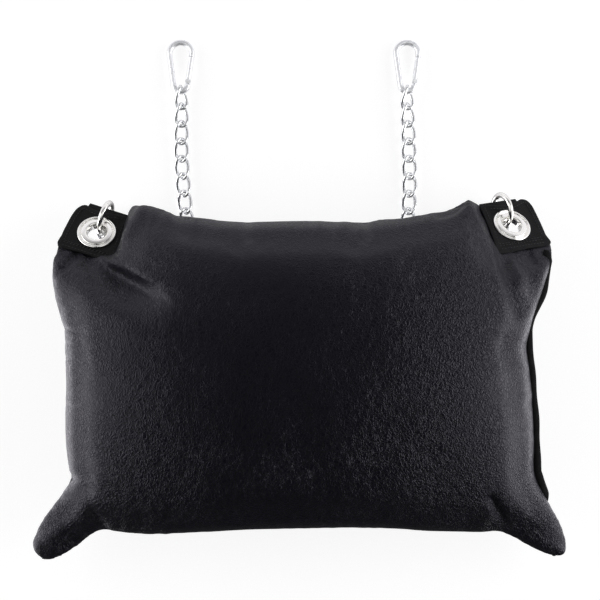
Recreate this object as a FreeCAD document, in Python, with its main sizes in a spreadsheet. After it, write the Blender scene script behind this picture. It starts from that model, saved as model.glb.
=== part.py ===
"""Uppercut bag: a stuffed leather cushion that hangs by two short chains.

The bag lies on its back, as it is stored. +X is the bag's right, +Y runs from the bag up to its chains and
+Z is the normal of the striking face. The origin is on the surface it lies on, under the middle of the bag
and its chains. All lengths are in millimetres and all angles in degrees.
"""
import FreeCAD, Part
import math
import os
import Sketcher
from FreeCAD import Placement, Rotation, Vector

DIMENSIONS = (
    # the cushion
    ("half_width", 248, "middle of the bag to a side edge, between the corners"),
    ("half_height", 164, "middle of the bag to its upper or lower edge, between the corners"),
    ("cushion_centre", -82.4, "Y of the middle of the cushion"),
    ("ear_reach", 36, "how far a corner stands out past the side edge"),
    ("ear_drop", 34, "how far a lower corner stands out past the lower edge"),
    ("upper_ear_rise", 20, "how far an upper corner stands out past the upper edge"),
    ("ear_sharpness", 9, "power that keeps a corner's ear short"),
    ("seam_height", 66, "height of the seam round the cushion at the middle of each edge"),
    ("corner_sag", 26, "how far the seam drops at the corners"),
    ("crown_height", 76, "seam to the top of the striking face"),
    ("belly_depth", 84, "seam to the deepest point of the back before it rests flat"),
    ("belly_power", 1.3, "how quickly the back rises to the seam"),
    ("leather", 1.8, "thickness of the leather"),
    ("lining", 0.8, "thickness of the cloth liner"),
    ("layer_gap", 0.4, "gap between one layer and the next"),
    # the closure on the right side
    ("closure_length", 236, "length of the hook and loop strips"),
    ("closure_width", 7, "how far the strips stand out of the side"),
    ("closure_thickness", 1.6, "thickness of one strip"),
    ("closure_end", -207.4, "Y of the strips' lower end"),
    # the reinforced corners with their eyelets
    ("patch_top", 23, "half the patch's upper edge"),
    ("patch_bottom", 32, "half the patch's lower edge"),
    ("patch_above", 35.3, "eyelet's middle to the upper edge"),
    ("patch_below", 28.5, "eyelet's middle to the seam with the leather"),
    ("patch_cloth", 1.2, "thickness of one nylon face"),
    ("patch_core", 1.6, "thickness of the webbing between the faces"),
    ("eyelet_bore", 10, "radius of the eyelet's throat"),
    ("eyelet_wall", 1.2, "thickness of the eyelet's barrel"),
    ("eyelet_rim", 21, "outer radius of the eyelet's front rim"),
    ("eyelet_dome", 2.6, "height of the front rim"),
    ("eyelet_rim_edge", 0.6, "height of the front rim at its outer edge"),
    ("eyelet_rim_slope", 2.2, "how far the rim's flat face stops short of its outer edge"),
    ("eyelet_lip", 1.4, "rounding of the lip of the eyelet's hole"),
    ("eyelet_curl", 3, "width of the curled edge at the back"),
    ("barrel_gap", 0.1, "gap round the eyelet's barrel"),
    ("washer_rim", 19, "outer radius of the washer"),
    ("washer_thickness", 1, "thickness of the washer"),
    ("eyelet_height", 36, "height of the eyelet's middle above the surface"),
    ("left_eyelet_x", -218, "X of the left eyelet"),
    ("left_eyelet_y", 68.1, "Y of the left eyelet"),
    ("left_tilt", 36, "slope of the left patch"),
    ("left_lean", 3, "direction of that slope, from +Y towards +X"),
    ("left_turn", -18, "turn of the left patch in its own plane"),
    ("right_eyelet_x", 226.5, "X of the right eyelet"),
    ("right_eyelet_y", 75.6, "Y of the right eyelet"),
    ("right_tilt", 42, "slope of the right patch"),
    ("right_lean", 24, "direction of that slope, from +Y towards +X"),
    ("right_turn", 41.5, "turn of the right patch in its own plane"),
    # the rings
    ("ring_radius", 17, "ring's middle to the middle of its wire"),
    ("ring_wire", 3, "radius of the ring's wire"),
    ("ring_offset", 22.9, "eyelet's middle to the ring's middle"),
    ("ring_hang", 130, "place on the ring of the chain's first link, from the patch's upper edge"),
    # the chains
    ("link_pitch", 19, "length that each link adds to the chain"),
    ("link_wire", 1.9, "radius of a link's wire"),
    ("link_width", 13, "width between the middles of a link's two sides"),
    ("link_squareness", 0.7, "power that fills out the link's oval; 1 is a plain ellipse"),
    ("link_play", 1.2, "slack between one link and the next"),
    ("link_twist", -90, "turn from one end of a link to the other"),
    ("link_rest", 4.9, "height of a link's middle when it lies flat"),
    # the carabiner hooks
    ("hook_length", 60, "overall length of a hook"),
    ("hook_wire", 3, "radius of the hook's wire"),
    ("hook_wide", 12.25, "radius of the hook's wide end, to the middle of the wire"),
    ("hook_narrow", 7.5, "radius of the hook's narrow end, to the middle of the wire"),
    ("hook_tongue", 2.4, "thickness of the flattened ends that the gate straddles"),
    ("nose_from_bend", 32, "narrow bend to the hook's nose, along the gate side"),
    ("nose_tongue", 3, "length of the nose's tongue"),
    ("nose_tongue_width", 3.4, "width of the nose's tongue"),
    ("heel_tongue_width", 4.4, "width of the tongue at the rivet"),
    ("rivet_from_bend", 4.5, "narrow bend to the rivet, along the gate side"),
    ("rivet_eye", 2.2, "radius of the tongue's rounded end"),
    ("rivet_radius", 1.2, "radius of the gate's rivet"),
    ("rivet_head", 2, "radius of the rivet's heads"),
    ("rivet_head_thickness", 0.8, "thickness of the rivet's heads"),
    ("rivet_clearance", 0.08, "gap round the rivet in the gate"),
    ("rivet_head_gap", 0.15, "gap between the gate and the rivet's heads"),
    ("gate_radius", 2.8, "radius of the gate"),
    ("gate_slot", 3.1, "width of the slots in the gate's ends"),
    ("gate_foot", 2.8, "rivet to the gate's foot"),
    ("gate_fork", 3.6, "rivet to the end of the lower slot"),
    ("gate_catch", 4, "depth of the upper slot, from the hook's nose"),
    ("gate_end_gap", 0.5, "gap between the gate's tip and the hook's nose"),
    ("heel_gap", 1, "gap between the gate's foot and the hook's wire"),
    ("spring_bore", 1.5, "radius of the bore for the spring"),
    ("spring_bore_end", 14, "rivet to the bottom of that bore"),
    ("spring_radius", 1.4, "outer radius of the spring"),
    ("spring_inside", 0.7, "inner radius of the spring"),
    ("left_hook_x", -129.7, "X of the left hook's narrow end"),
    ("right_hook_x", 116.6, "X of the right hook's narrow end"),
    ("hook_y", 223.6, "Y of the hooks' narrow ends"),
    ("hook_heel", 8.2, "height of the hooks' narrow ends"),
)

# Going from the hook to the bag, how far each link in sight leans off -Y towards +X.
SEEN_LEANS = {
    "left": (3, 0, -1.5, 1.5, 3, 5, 5, 7),
    "right": (0, 3, 2, 1.5, 2, -1, -2.5, -5),
}
HIDDEN_LINKS = 8
LINK_COUNT = len(SEEN_LEANS["left"]) + HIDDEN_LINKS
# Roll about its own length of each link nearest the ring, and of each link nearest the hook.
RING_END_ROLLS = {"left": (-62, -48, -34, -21, -8), "right": (-18, -14, -10, -6, -2)}
HOOK_END_ROLLS = (-44, -31, -18, -7)
# Heights of the chain's pivots next to the ring and next to the hook, after the first one.
RING_END_HEIGHTS = (14.5, 10.5, 8.1, 6.7, 5.7)
HOOK_END_HEIGHTS = (7.1, 6.3, 5.8, 5.2)
# Points that a link's oval, and each way across a face of the cushion, are drawn through.
LINK_POINTS = 24
GRID = 18
# Taller than the whole cushion.
FULL_HEIGHT = 300

doc = FreeCAD.newDocument("uppercut_bag")
sheet = doc.addObject("Spreadsheet::Sheet", "Sizes")
for row, (alias, value, meaning) in enumerate(DIMENSIONS, start=1):
    sheet.set(f"A{row}", alias)
    sheet.set(f"B{row}", str(value))
    sheet.set(f"C{row}", meaning)
    sheet.setAlias(f"B{row}", alias)
doc.recompute()


def size(alias):
    """The value of one driving dimension."""
    return float(sheet.get(alias))


def plane(body, role):
    """One of a body's own origin planes."""
    return next(feature for feature in body.Origin.OriginFeatures if feature.Role == role)


def new_body(label):
    body = doc.addObject("PartDesign::Body", label)
    body.Label = label
    return body


def new_sketch(body, name, role):
    sketch = body.newObject("Sketcher::SketchObject", name)
    sketch.AttachmentSupport = [(plane(body, role), "")]
    sketch.MapMode = "FlatFace"
    return sketch


def new_shape(label, shape, placement=Placement()):
    """A sub-part whose form only Part's own functions can make."""
    feature = doc.addObject("Part::Feature", label)
    feature.Label = label
    feature.Shape = shape
    feature.Placement = placement
    return feature


# ---------------------------------------------------------------- the cushion

def cushion_point(across, up, inset, crown, power):
    """A point of one face of the cushion; across and up run from -1 to 1 between its edges."""
    u = math.sin(across * math.pi / 2)
    v = math.sin(up * math.pi / 2)
    swell = (math.cos(across * math.pi / 2) * math.cos(up * math.pi / 2)) ** power
    sharp = size("ear_sharpness")
    rise = size("upper_ear_rise") if v > 0 else size("ear_drop")
    x = u * (size("half_width") - inset + size("ear_reach") * abs(v) ** sharp)
    y = v * (size("half_height") - inset + rise * abs(u) ** sharp)
    seam = size("seam_height") - size("corner_sag") * (u * v) ** 2
    return Vector(x, size("cushion_centre") + y, seam + crown * swell)


def cushion_face(inset, crown, power=1.0):
    """One face of the cushion: a smooth surface over a net of its points."""
    steps = [2 * i / GRID - 1 for i in range(GRID + 1)]
    net = [[cushion_point(across, up, inset, crown, power) for up in steps] for across in steps]
    spans = GRID - 2
    knots = list(range(spans + 1))
    repeats = [4] + [1] * (spans - 1) + [4]
    surface = Part.BSplineSurface()
    surface.buildFromPolesMultsKnots(net, repeats, repeats, knots, knots, False, False, 3, 3)
    return surface.toShape()


def front_face(inset):
    return cushion_face(inset, size("crown_height") - inset)


def back_face(inset):
    return cushion_face(inset, inset - size("belly_depth"), size("belly_power"))


def face_edges(face):
    """The four edges of a cushion face, as wires that start at the same corner on every face."""
    surface = face.Surface
    u_low, u_high, v_low, v_high = surface.bounds()
    return [
        surface.vIso(v_low).toShape(),
        surface.uIso(u_high).toShape(),
        surface.vIso(v_high).toShape(),
        surface.uIso(u_low).toShape(),
    ]


def sewn_solid(faces):
    """A solid from faces that meet along their edges."""
    shell = Part.Shell(faces)
    shell.sewShape(0.01)
    return Part.Solid(shell)


def panel(outer, inner):
    """The layer between two cushion faces, closed round its edge."""
    rim = [Part.makeRuledSurface(a, b) for a, b in zip(face_edges(outer), face_edges(inner))]
    return sewn_solid([outer, inner] + rim)


def whole_cushion(inset):
    return sewn_solid([front_face(inset), back_face(inset)])


def slab(low, high):
    """All the room between two heights."""
    reach = 450
    return Part.makeBox(2 * reach, 2 * reach, high - low, Vector(-reach, -reach, low))


def corner_placement(side):
    """The frame of a reinforced corner: origin in the eyelet, +Y to the patch's upper edge, +Z its normal."""
    turn = Rotation(Vector(0, 0, 1), size(f"{side}_turn"))
    tilt = Rotation(Vector(1, 0, 0), -size(f"{side}_tilt"))
    lean = Rotation(Vector(0, 0, 1), -size(f"{side}_lean"))
    middle = Vector(size(f"{side}_eyelet_x"), size(f"{side}_eyelet_y"), size("eyelet_height"))
    return Placement(middle, lean * tilt * turn)


def corner_clearance(side):
    """The room that a patch takes out of the cushion's corner, from its seams outwards."""
    outward = -1 if side == "left" else 1
    margin = 2
    beyond = 90
    outside = Vector(outward * 330, 190, 0)
    bottom = Vector(0, 0, -20)
    below = -size("patch_below") - margin
    lower_inner = -outward * (size("patch_bottom") + margin)
    upper_inner = -outward * (size("patch_top") + margin)
    frame = corner_placement(side)
    outline = [
        frame.multVec(Vector(outward * beyond, below, 0)),
        frame.multVec(Vector(lower_inner, below, 0)),
        frame.multVec(Vector(upper_inner, size("patch_above"), 0)),
        frame.multVec(Vector(upper_inner, beyond, 0)),
        outside,
    ]
    base = [Vector(point.x, point.y, bottom.z) for point in outline]
    return Part.Face(Part.makePolygon(base + base[:1])).extrude(Vector(0, 0, FULL_HEIGHT))


def trimmed(solid):
    """A cushion layer with its two upper corners cut back, clear of the patches."""
    return solid.cut([corner_clearance("left"), corner_clearance("right")]).Solids[0]


def make_layer(name, inset, thickness):
    """One layer of the cushion, sewn from a front and a back panel; the back rests flat."""
    inner = inset + thickness
    new_shape(f"{name}_front", trimmed(panel(front_face(inset), front_face(inner))))
    resting = whole_cushion(inset).common(slab(inset, inner))
    back = panel(back_face(inset), back_face(inner)).common(slab(inset, FULL_HEIGHT)).fuse(resting)
    new_shape(f"{name}_back", trimmed(back))


def make_cushion():
    """The leather cover, the cloth liner in it and the filling in that."""
    liner_inset = size("leather") + size("layer_gap")
    fill_inset = liner_inset + size("lining") + size("layer_gap")
    make_layer("cover", 0, size("leather"))
    make_layer("liner", liner_inset, size("lining"))
    new_shape("filling", trimmed(whole_cushion(fill_inset).common(slab(fill_inset, FULL_HEIGHT))))


def make_closure():
    """The hook and loop strips that close the filling opening in the right side seam."""
    for label, height in (
        ("closure_hook_strip", "Sizes.seam_height"),
        ("closure_loop_strip", "Sizes.seam_height - Sizes.closure_thickness"),
    ):
        strip = doc.addObject("Part::Box", label)
        strip.Label = label
        strip.setExpression("Length", "Sizes.closure_width")
        strip.setExpression("Width", "Sizes.closure_length")
        strip.setExpression("Height", "Sizes.closure_thickness")
        strip.setExpression("Placement.Base.x", "Sizes.half_width + 1")
        strip.setExpression("Placement.Base.y", "Sizes.closure_end")
        strip.setExpression("Placement.Base.z", height)


# ---------------------------------------------------------------- the reinforced corners

def value(expression):
    return float(sheet.evalExpression(expression))


def outline(sketch, corners):
    """A closed outline of straight lines, each corner tied to two expressions; a leading - is a mirror."""
    def signed(expression):
        negative = expression.startswith("-")
        return (-1 if negative else 1), expression.lstrip("-")

    spots = []
    for across, up in corners:
        (across_sign, across), (up_sign, up) = signed(across), signed(up)
        spots.append((across_sign, across, up_sign, up))
    points = [Vector(a * value(x), b * value(y), 0) for a, x, b, y in spots]
    count = len(points)
    first = sketch.GeometryCount
    for i in range(count):
        sketch.addGeometry(Part.LineSegment(points[i], points[(i + 1) % count]), False)
    for i in range(count):
        sketch.addConstraint(Sketcher.Constraint("Coincident", first + i, 2, first + (i + 1) % count, 1))
    for i, (across_sign, across, up_sign, up) in enumerate(spots):
        for kind, sign, expression in (("DistanceX", across_sign, across), ("DistanceY", up_sign, up)):
            ends = (-1, 1, first + i, 1) if sign > 0 else (first + i, 1, -1, 1)
            number = sketch.addConstraint(Sketcher.Constraint(kind, *ends, value(expression)))
            sketch.setExpression(f"Constraints[{number}]", expression)


def make_patch(side, layer, thickness, offset):
    """One layer of a corner's patch: a four-sided piece with a hole for the eyelet."""
    body = new_body(f"corner_patch_{side}_{layer}")
    sketch = new_sketch(body, f"{body.Label}_outline", "XY_Plane")
    sketch.setExpression("AttachmentOffset.Base.z", offset)
    outline(sketch, (
        ("-Sizes.patch_bottom", "-Sizes.patch_below"),
        ("Sizes.patch_bottom", "-Sizes.patch_below"),
        ("Sizes.patch_top", "Sizes.patch_above"),
        ("-Sizes.patch_top", "Sizes.patch_above"),
    ))
    hole = "Sizes.eyelet_bore + Sizes.eyelet_wall + Sizes.barrel_gap"
    circle = sketch.addGeometry(Part.Circle(Vector(0, 0, 0), Vector(0, 0, 1), value(hole)), False)
    sketch.addConstraint(Sketcher.Constraint("Coincident", circle, 3, -1, 1))
    number = sketch.addConstraint(Sketcher.Constraint("Radius", circle, value(hole)))
    sketch.setExpression(f"Constraints[{number}]", hole)
    pad = body.newObject("PartDesign::Pad", f"{body.Label}_pad")
    pad.Profile = sketch
    pad.setExpression("Length", thickness)
    body.Placement = corner_placement(side)


def revolve(label, side, corners):
    """A turned piece about the eyelet's axis."""
    body = new_body(label)
    sketch = new_sketch(body, f"{label}_profile", "XZ_Plane")
    outline(sketch, corners)
    turned = body.newObject("PartDesign::Revolution", f"{label}_turned")
    turned.Profile = sketch
    turned.ReferenceAxis = (sketch, ["V_Axis"])
    turned.Angle = 360
    body.Placement = corner_placement(side)
    return body


def round_circle(body, radius, across, up):
    """Rounds a turned piece's circular edge, given by its radius and its height."""
    doc.recompute()
    base = body.Tip
    spot = Part.Vertex(Vector(across, 0, up))
    names = [
        f"Edge{i}" for i, edge in enumerate(base.Shape.Edges, start=1)
        if isinstance(edge.Curve, Part.Circle) and edge.distToShape(spot)[0] < 0.01
    ]
    fillet = body.newObject("PartDesign::Fillet", f"{body.Label}_round")
    fillet.Base = (base, names)
    fillet.setExpression("Radius", radius)


def make_eyelet(side):
    """The eyelet, set through the patch from the front and curled over the washer at the back."""
    face = "Sizes.patch_core / 2 + Sizes.patch_cloth"
    barrel = "Sizes.eyelet_bore + Sizes.eyelet_wall"
    washer = f"{face} + Sizes.washer_thickness"
    curl = f"{washer} + Sizes.eyelet_wall"
    curl_edge = f"{barrel} + Sizes.eyelet_curl"
    dome = f"{face} + Sizes.eyelet_dome"
    eyelet = revolve(f"eyelet_{side}", side, (
        ("Sizes.eyelet_bore", dome),
        ("Sizes.eyelet_bore", f"-({curl})"),
        (curl_edge, f"-({curl})"),
        (curl_edge, f"-({washer})"),
        (barrel, f"-({washer})"),
        (barrel, face),
        ("Sizes.eyelet_rim", face),
        ("Sizes.eyelet_rim", f"{face} + Sizes.eyelet_rim_edge"),
        ("Sizes.eyelet_rim - Sizes.eyelet_rim_slope", dome),
    ))
    round_circle(eyelet, "Sizes.eyelet_lip", value("Sizes.eyelet_bore"), value(dome))
    washer_hole = f"{barrel} + Sizes.barrel_gap"
    revolve(f"eyelet_washer_{side}", side, (
        (washer_hole, f"-({face})"),
        (washer_hole, f"-({washer})"),
        ("Sizes.washer_rim", f"-({washer})"),
        ("Sizes.washer_rim", f"-({face})"),
    ))


def ring_placement(side):
    """The ring stands across the patch's upper edge, through the eyelet."""
    across = Rotation(Vector(0, 1, 0), 90)
    return corner_placement(side) * Placement(Vector(0, size("ring_offset"), 0), across)


def make_ring(side):
    ring = doc.addObject("Part::Torus", f"ring_{side}")
    ring.Label = f"ring_{side}"
    ring.setExpression("Radius1", "Sizes.ring_radius")
    ring.setExpression("Radius2", "Sizes.ring_wire")
    ring.Placement = ring_placement(side)


def make_corner(side):
    core_half = "Sizes.patch_core / 2"
    make_patch(side, "front", "Sizes.patch_cloth", core_half)
    make_patch(side, "webbing", "Sizes.patch_core", "-Sizes.patch_core / 2")
    make_patch(side, "back", "Sizes.patch_cloth", "-Sizes.patch_core / 2 - Sizes.patch_cloth")
    make_eyelet(side)
    make_ring(side)


# ---------------------------------------------------------------- the chains

def link_length():
    """Length of a link between the middles of its two bows."""
    return size("link_pitch") + 2 * size("link_wire") + size("link_play")


def link_path_point(angle):
    """A point on the middle of a link's wire: an oval whose two ends are twisted apart."""
    across, along = (
        math.copysign(abs(share) ** size("link_squareness"), share)
        for share in (math.cos(angle), math.sin(angle))
    )
    twist = math.radians(size("link_twist")) / 2 * along
    out = size("link_width") / 2 * across
    return Vector(out * math.cos(twist), link_length() / 2 * along, out * math.sin(twist))


def link_shape():
    """One twisted link, swept in two halves along its oval."""
    turns = [2 * math.pi * i / LINK_POINTS for i in range(LINK_POINTS)]
    oval = Part.BSplineCurve()
    oval.interpolate([link_path_point(turn) for turn in turns], True)
    start, end = oval.FirstParameter, oval.LastParameter
    middle = (start + end) / 2
    faces = []
    for low, high in ((start, middle), (middle, end)):
        wire = Part.Circle(oval.value(low), oval.tangent(low)[0], size("link_wire")).toShape()
        path = Part.Wire([Part.Edge(oval, low, high)])
        faces += path.makePipeShell([Part.Wire([wire])], False, False).Faces
    return sewn_solid(faces)


def ring_hang_point(side):
    """Middle of the ring's wire where the chain's first link hangs."""
    angle = math.radians(size("ring_hang"))
    across, along = math.cos(angle), math.sin(angle)
    spot = Vector(0, size("ring_offset") + size("ring_radius") * across, -size("ring_radius") * along)
    return corner_placement(side).multVec(spot)


def hook_heel(side):
    """Middle of the wire at a hook's narrow end."""
    return Vector(size(f"{side}_hook_x"), size("hook_y"), size("hook_heel"))


def seen_pivots(side):
    """Pivots of the links in sight, from the hook down to the bag."""
    heights = [*HOOK_END_HEIGHTS, *[size("link_rest")] * len(SEEN_LEANS[side])]
    pivots = [hook_heel(side) + Vector(0, size("hook_wire"), 0)]
    for lean, height in zip(SEEN_LEANS[side], heights):
        last = pivots[-1]
        level = math.sqrt(size("link_pitch") ** 2 - (height - last.z) ** 2)
        angle = math.radians(lean)
        pivots.append(Vector(last.x + level * math.sin(angle), last.y - level * math.cos(angle), height))
    return pivots


def arc_of_links(start, end, heights, way):
    """Pivots from start to end whose links turn evenly; way is 1 to turn left and -1 to turn right."""
    rises = [b - a for a, b in zip(heights, heights[1:])]
    steps = [math.sqrt(size("link_pitch") ** 2 - rise ** 2) for rise in rises]
    chord = Vector(end.x - start.x, end.y - start.y, 0)

    def corner(turn, first):
        spots = [Vector(0, 0, 0)]
        for i, step in enumerate(steps):
            angle = first + way * turn * i
            spots.append(spots[-1] + Vector(step * math.cos(angle), step * math.sin(angle), 0))
        return spots

    tight, loose = math.radians(40), math.radians(1)
    for _ in range(50):
        turn = (tight + loose) / 2
        if corner(turn, 0)[-1].Length < chord.Length:
            tight = turn
        else:
            loose = turn
    reached = corner(turn, 0)[-1]
    first = math.atan2(chord.y, chord.x) - math.atan2(reached.y, reached.x)
    return [Vector(start.x + spot.x, start.y + spot.y, z) for spot, z in zip(corner(turn, first), heights)]


def chain_pivots(side):
    """All of a chain's pivots, from its ring to its hook."""
    seen = seen_pivots(side)[::-1]
    way = 1 if side == "left" else -1
    hang = ring_hang_point(side)
    start = hang
    # The first link's way off the ring and the arc depend on each other, and settle in a few rounds.
    for _ in range(6):
        lower = [size("link_rest")] * (HIDDEN_LINKS - len(RING_END_HEIGHTS))
        heights = [start.z, *RING_END_HEIGHTS, *lower]
        hidden = arc_of_links(start, seen[0], heights, way)
        first = (hidden[1] - hidden[0]).normalize()
        start = hang - first * size("ring_wire")
    return hidden[:-1] + seen


def link_rolls(side):
    ring_end = RING_END_ROLLS[side]
    middle = LINK_COUNT - len(ring_end) - len(HOOK_END_ROLLS)
    return [*ring_end, *[0] * middle, *HOOK_END_ROLLS[::-1]]


def link_placement(start, end, roll):
    """A link's frame: +Y from its ring end to its hook end, +X to its side, rolled about +Y."""
    along = (end - start).normalize()
    level = along.cross(Vector(0, 0, 1)).normalize()
    upright = level.cross(along)
    angle = math.radians(roll)
    side = level * math.cos(angle) + upright * math.sin(angle)
    return Placement((start + end) * 0.5, Rotation(side, along, side.cross(along), "XYZ"))


def chain_frames(side):
    pivots = chain_pivots(side)
    return [link_placement(a, b, roll) for a, b, roll in zip(pivots, pivots[1:], link_rolls(side))]


def make_chain(side):
    shape = link_shape()
    for number, frame in enumerate(chain_frames(side), start=1):
        new_shape(f"chain_link_{side}_{number:02d}", shape.copy(), frame)


# ---------------------------------------------------------------- the carabiner hooks

def hook_placement(side):
    """A hook's frame: origin at its narrow end, +Y to its wide end, which rests on the surface."""
    reach = size("hook_length") - 2 * size("hook_wire")
    droop = math.degrees(math.asin((size("hook_heel") - size("hook_wire")) / reach))
    return Placement(hook_heel(side), Rotation(Vector(1, 0, 0), -droop))


def hook_outline():
    """The ends of the hook's gate side and spine, where they leave its narrow and wide ends."""
    narrow, wide = size("hook_narrow"), size("hook_wide")
    top = size("hook_length") - 2 * size("hook_wire") - wide
    flare = math.asin((wide - narrow) / (top - narrow))
    low = Vector(narrow * math.cos(flare), narrow - narrow * math.sin(flare), 0)
    high = Vector(wide * math.cos(flare), top - wide * math.sin(flare), 0)
    return low, high, top


def along_gate(distance):
    """A point on the gate side, measured from where it leaves the narrow end."""
    low, high, _ = hook_outline()
    return low + (high - low).normalize() * distance


def mirrored(point):
    return Vector(-point.x, point.y, point.z)


def rod(start, end, radius):
    direction = end - start
    return Part.makeCylinder(radius, direction.Length, start, direction)


def gate_box(start, end, width, thickness):
    """A block along the gate side, as wide as given in the hook's plane and as thick as given across it."""
    direction = (end - start).normalize()
    across = direction.cross(Vector(0, 0, 1))
    block = Part.makeBox(width, (end - start).Length, thickness, Vector(-width / 2, 0, -thickness / 2))
    block.Placement = Placement(start, Rotation(across, direction, Vector(0, 0, 1), "XYZ"))
    return block


def across_hook(middle, radius, reach):
    """A round bar across the hook's plane, reaching equally far to both sides of it."""
    return Part.makeCylinder(radius, 2 * reach, middle - Vector(0, 0, reach))


def hook_frame_shape():
    """The bent wire of a hook, with a flat tongue at each end for the gate to straddle."""
    low, high, top = hook_outline()
    wide, wire, tongue = size("hook_wide"), size("hook_wire"), size("hook_tongue")
    rivet = size("rivet_from_bend")
    nose = along_gate(size("nose_from_bend"))
    heel = along_gate(rivet - size("gate_foot") - size("heel_gap"))
    edges = [
        Part.LineSegment(nose, high).toShape(),
        Part.Arc(high, Vector(0, top + wide, 0), mirrored(high)).toShape(),
        Part.LineSegment(mirrored(high), mirrored(low)).toShape(),
        Part.Arc(mirrored(low), Vector(0, 0, 0), low).toShape(),
        Part.LineSegment(low, heel).toShape(),
    ]
    circle = Part.Circle(nose, high - nose, wire).toShape()
    bent_wire = Part.Wire(edges).makePipeShell([Part.Wire([circle])], True, False)
    nose_start = along_gate(size("nose_from_bend") - size("nose_tongue"))
    nose_tongue = gate_box(nose_start, nose, size("nose_tongue_width"), tongue)
    heel_tongue = gate_box(heel, along_gate(rivet), size("heel_tongue_width"), tongue)
    rivet_eye = across_hook(along_gate(rivet), size("rivet_eye"), tongue / 2)
    rivet_hole = across_hook(along_gate(rivet), size("rivet_radius"), tongue)
    return bent_wire.fuse([nose_tongue, heel_tongue, rivet_eye]).cut(rivet_hole)


def gate_shape():
    """The gate: a rod slotted at both ends, with a bore for its spring."""
    radius, slot = size("gate_radius"), size("gate_slot")
    rivet, nose = size("rivet_from_bend"), size("nose_from_bend")
    foot = along_gate(rivet - size("gate_foot"))
    tip = along_gate(nose - size("gate_end_gap"))
    fork_end = along_gate(rivet + size("gate_fork"))
    through = 4 * radius
    stick = rod(foot, tip, radius).fuse(across_hook(along_gate(rivet), radius, radius))
    fork = gate_box(along_gate(rivet - through), fork_end, through, slot)
    catch = gate_box(along_gate(nose - size("gate_catch")), along_gate(nose + radius), through, slot)
    bore = rod(fork_end, along_gate(rivet + size("spring_bore_end")), size("spring_bore"))
    hole = across_hook(along_gate(rivet), size("rivet_radius") + size("rivet_clearance"), through)
    return stick.cut([fork, catch, bore, hole])


def rivet_shape():
    """The gate's rivet with its two flat heads."""
    pivot = along_gate(size("rivet_from_bend"))
    reach = size("gate_radius") + size("rivet_head_gap")
    thickness = size("rivet_head_thickness")
    heads = [
        Part.makeCylinder(size("rivet_head"), thickness, pivot + Vector(0, 0, height))
        for height in (reach, -reach - thickness)
    ]
    return across_hook(pivot, size("rivet_radius"), reach).fuse(heads)


def spring_shape():
    """The coil spring in the gate's bore, as the tube that it fills."""
    end_gap = 0.2
    rivet = size("rivet_from_bend")
    start = along_gate(rivet + size("gate_fork") + 2 * end_gap)
    end = along_gate(rivet + size("spring_bore_end") - end_gap)
    return rod(start, end, size("spring_radius")).cut(rod(start, end, size("spring_inside")))


def make_hook(side):
    frame = hook_placement(side)
    new_shape(f"hook_frame_{side}", hook_frame_shape(), frame)
    new_shape(f"hook_gate_{side}", gate_shape(), frame)
    new_shape(f"hook_rivet_{side}", rivet_shape(), frame)
    new_shape(f"hook_spring_{side}", spring_shape(), frame)


# ---------------------------------------------------------------- the whole bag

def sub_parts():
    """Every object that is a piece of the bag, not a step in making one."""
    for thing in doc.Objects:
        if thing.TypeId in ("PartDesign::Body", "Part::Feature", "Part::Box", "Part::Torus"):
            yield thing


def check_model():
    for thing in doc.Objects:
        if "Invalid" in thing.State or "Error" in thing.State:
            raise RuntimeError(f"{thing.Label} failed to compute")
    for thing in sub_parts():
        if thing.Shape.isNull() or not thing.Shape.isValid():
            raise RuntimeError(f"{thing.Label} has no valid shape")


def main():
    make_cushion()
    make_closure()
    for side in ("left", "right"):
        make_corner(side)
        make_chain(side)
        make_hook(side)
    doc.recompute()
    check_model()
    os.makedirs("parts", exist_ok=True)
    for thing in sub_parts():
        thing.Shape.exportStep(f"parts/{thing.Label}.step")


main()
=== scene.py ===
"""Uppercut bag: its leather, cloth, thread and metal, as they are seen.

Everything is in metres. The bag lies on its back on the floor, z = 0, with its upper edge towards +Y. Lengths
that are easier to read in millimetres are written in millimetres and multiplied by MM.
"""

import math

import bmesh
import bpy
import numpy as np
from mathutils import Matrix, Vector
from mathutils.geometry import delaunay_2d_cdt


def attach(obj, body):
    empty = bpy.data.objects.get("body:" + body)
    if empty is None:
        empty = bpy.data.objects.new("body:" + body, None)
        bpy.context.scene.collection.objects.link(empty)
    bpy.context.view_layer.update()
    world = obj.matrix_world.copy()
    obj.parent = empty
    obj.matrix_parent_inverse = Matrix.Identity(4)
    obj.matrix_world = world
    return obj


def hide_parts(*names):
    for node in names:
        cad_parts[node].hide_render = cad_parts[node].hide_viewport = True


MM = 0.001
SIDES = ("left", "right")

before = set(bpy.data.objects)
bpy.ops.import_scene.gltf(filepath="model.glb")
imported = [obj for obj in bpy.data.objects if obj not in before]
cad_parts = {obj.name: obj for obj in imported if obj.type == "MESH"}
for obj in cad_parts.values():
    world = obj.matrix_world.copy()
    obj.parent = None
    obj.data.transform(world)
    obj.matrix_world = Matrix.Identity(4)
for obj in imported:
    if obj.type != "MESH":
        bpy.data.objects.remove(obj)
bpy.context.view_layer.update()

# ---------------------------------------------------------------- the cushion's outline, in millimetres

# From the left patch's seam down the left side, round both lower corners and up the right side.
SIDES_AND_BOTTOM = (
    (-259.5, 52), (-262.5, 38), (-262, 16), (-256, -11), (-249, -33), (-247.5, -56), (-246.5, -93),
    (-247.5, -135), (-246, -172), (-243, -192),
    (-254, -211), (-270, -231), (-282, -251), (-285, -265), (-281, -276), (-271, -281), (-256, -277),
    (-237, -264), (-222, -252), (-210, -247),
    (-193, -249), (-159, -251), (-106, -248), (-42, -244.5), (32, -243), (90, -243.5), (127, -246.5),
    (159, -248), (196, -249.5), (210, -248),
    (225, -254), (243, -264), (262, -273), (273, -276), (283, -271), (285, -261), (280, -246),
    (272, -231), (262, -214),
    (251, -196), (247, -179), (247, -149), (243, -88), (238.5, -52), (242, -37), (249, -6),
    (258, 16), (266, 34), (270, 50),
)
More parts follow.
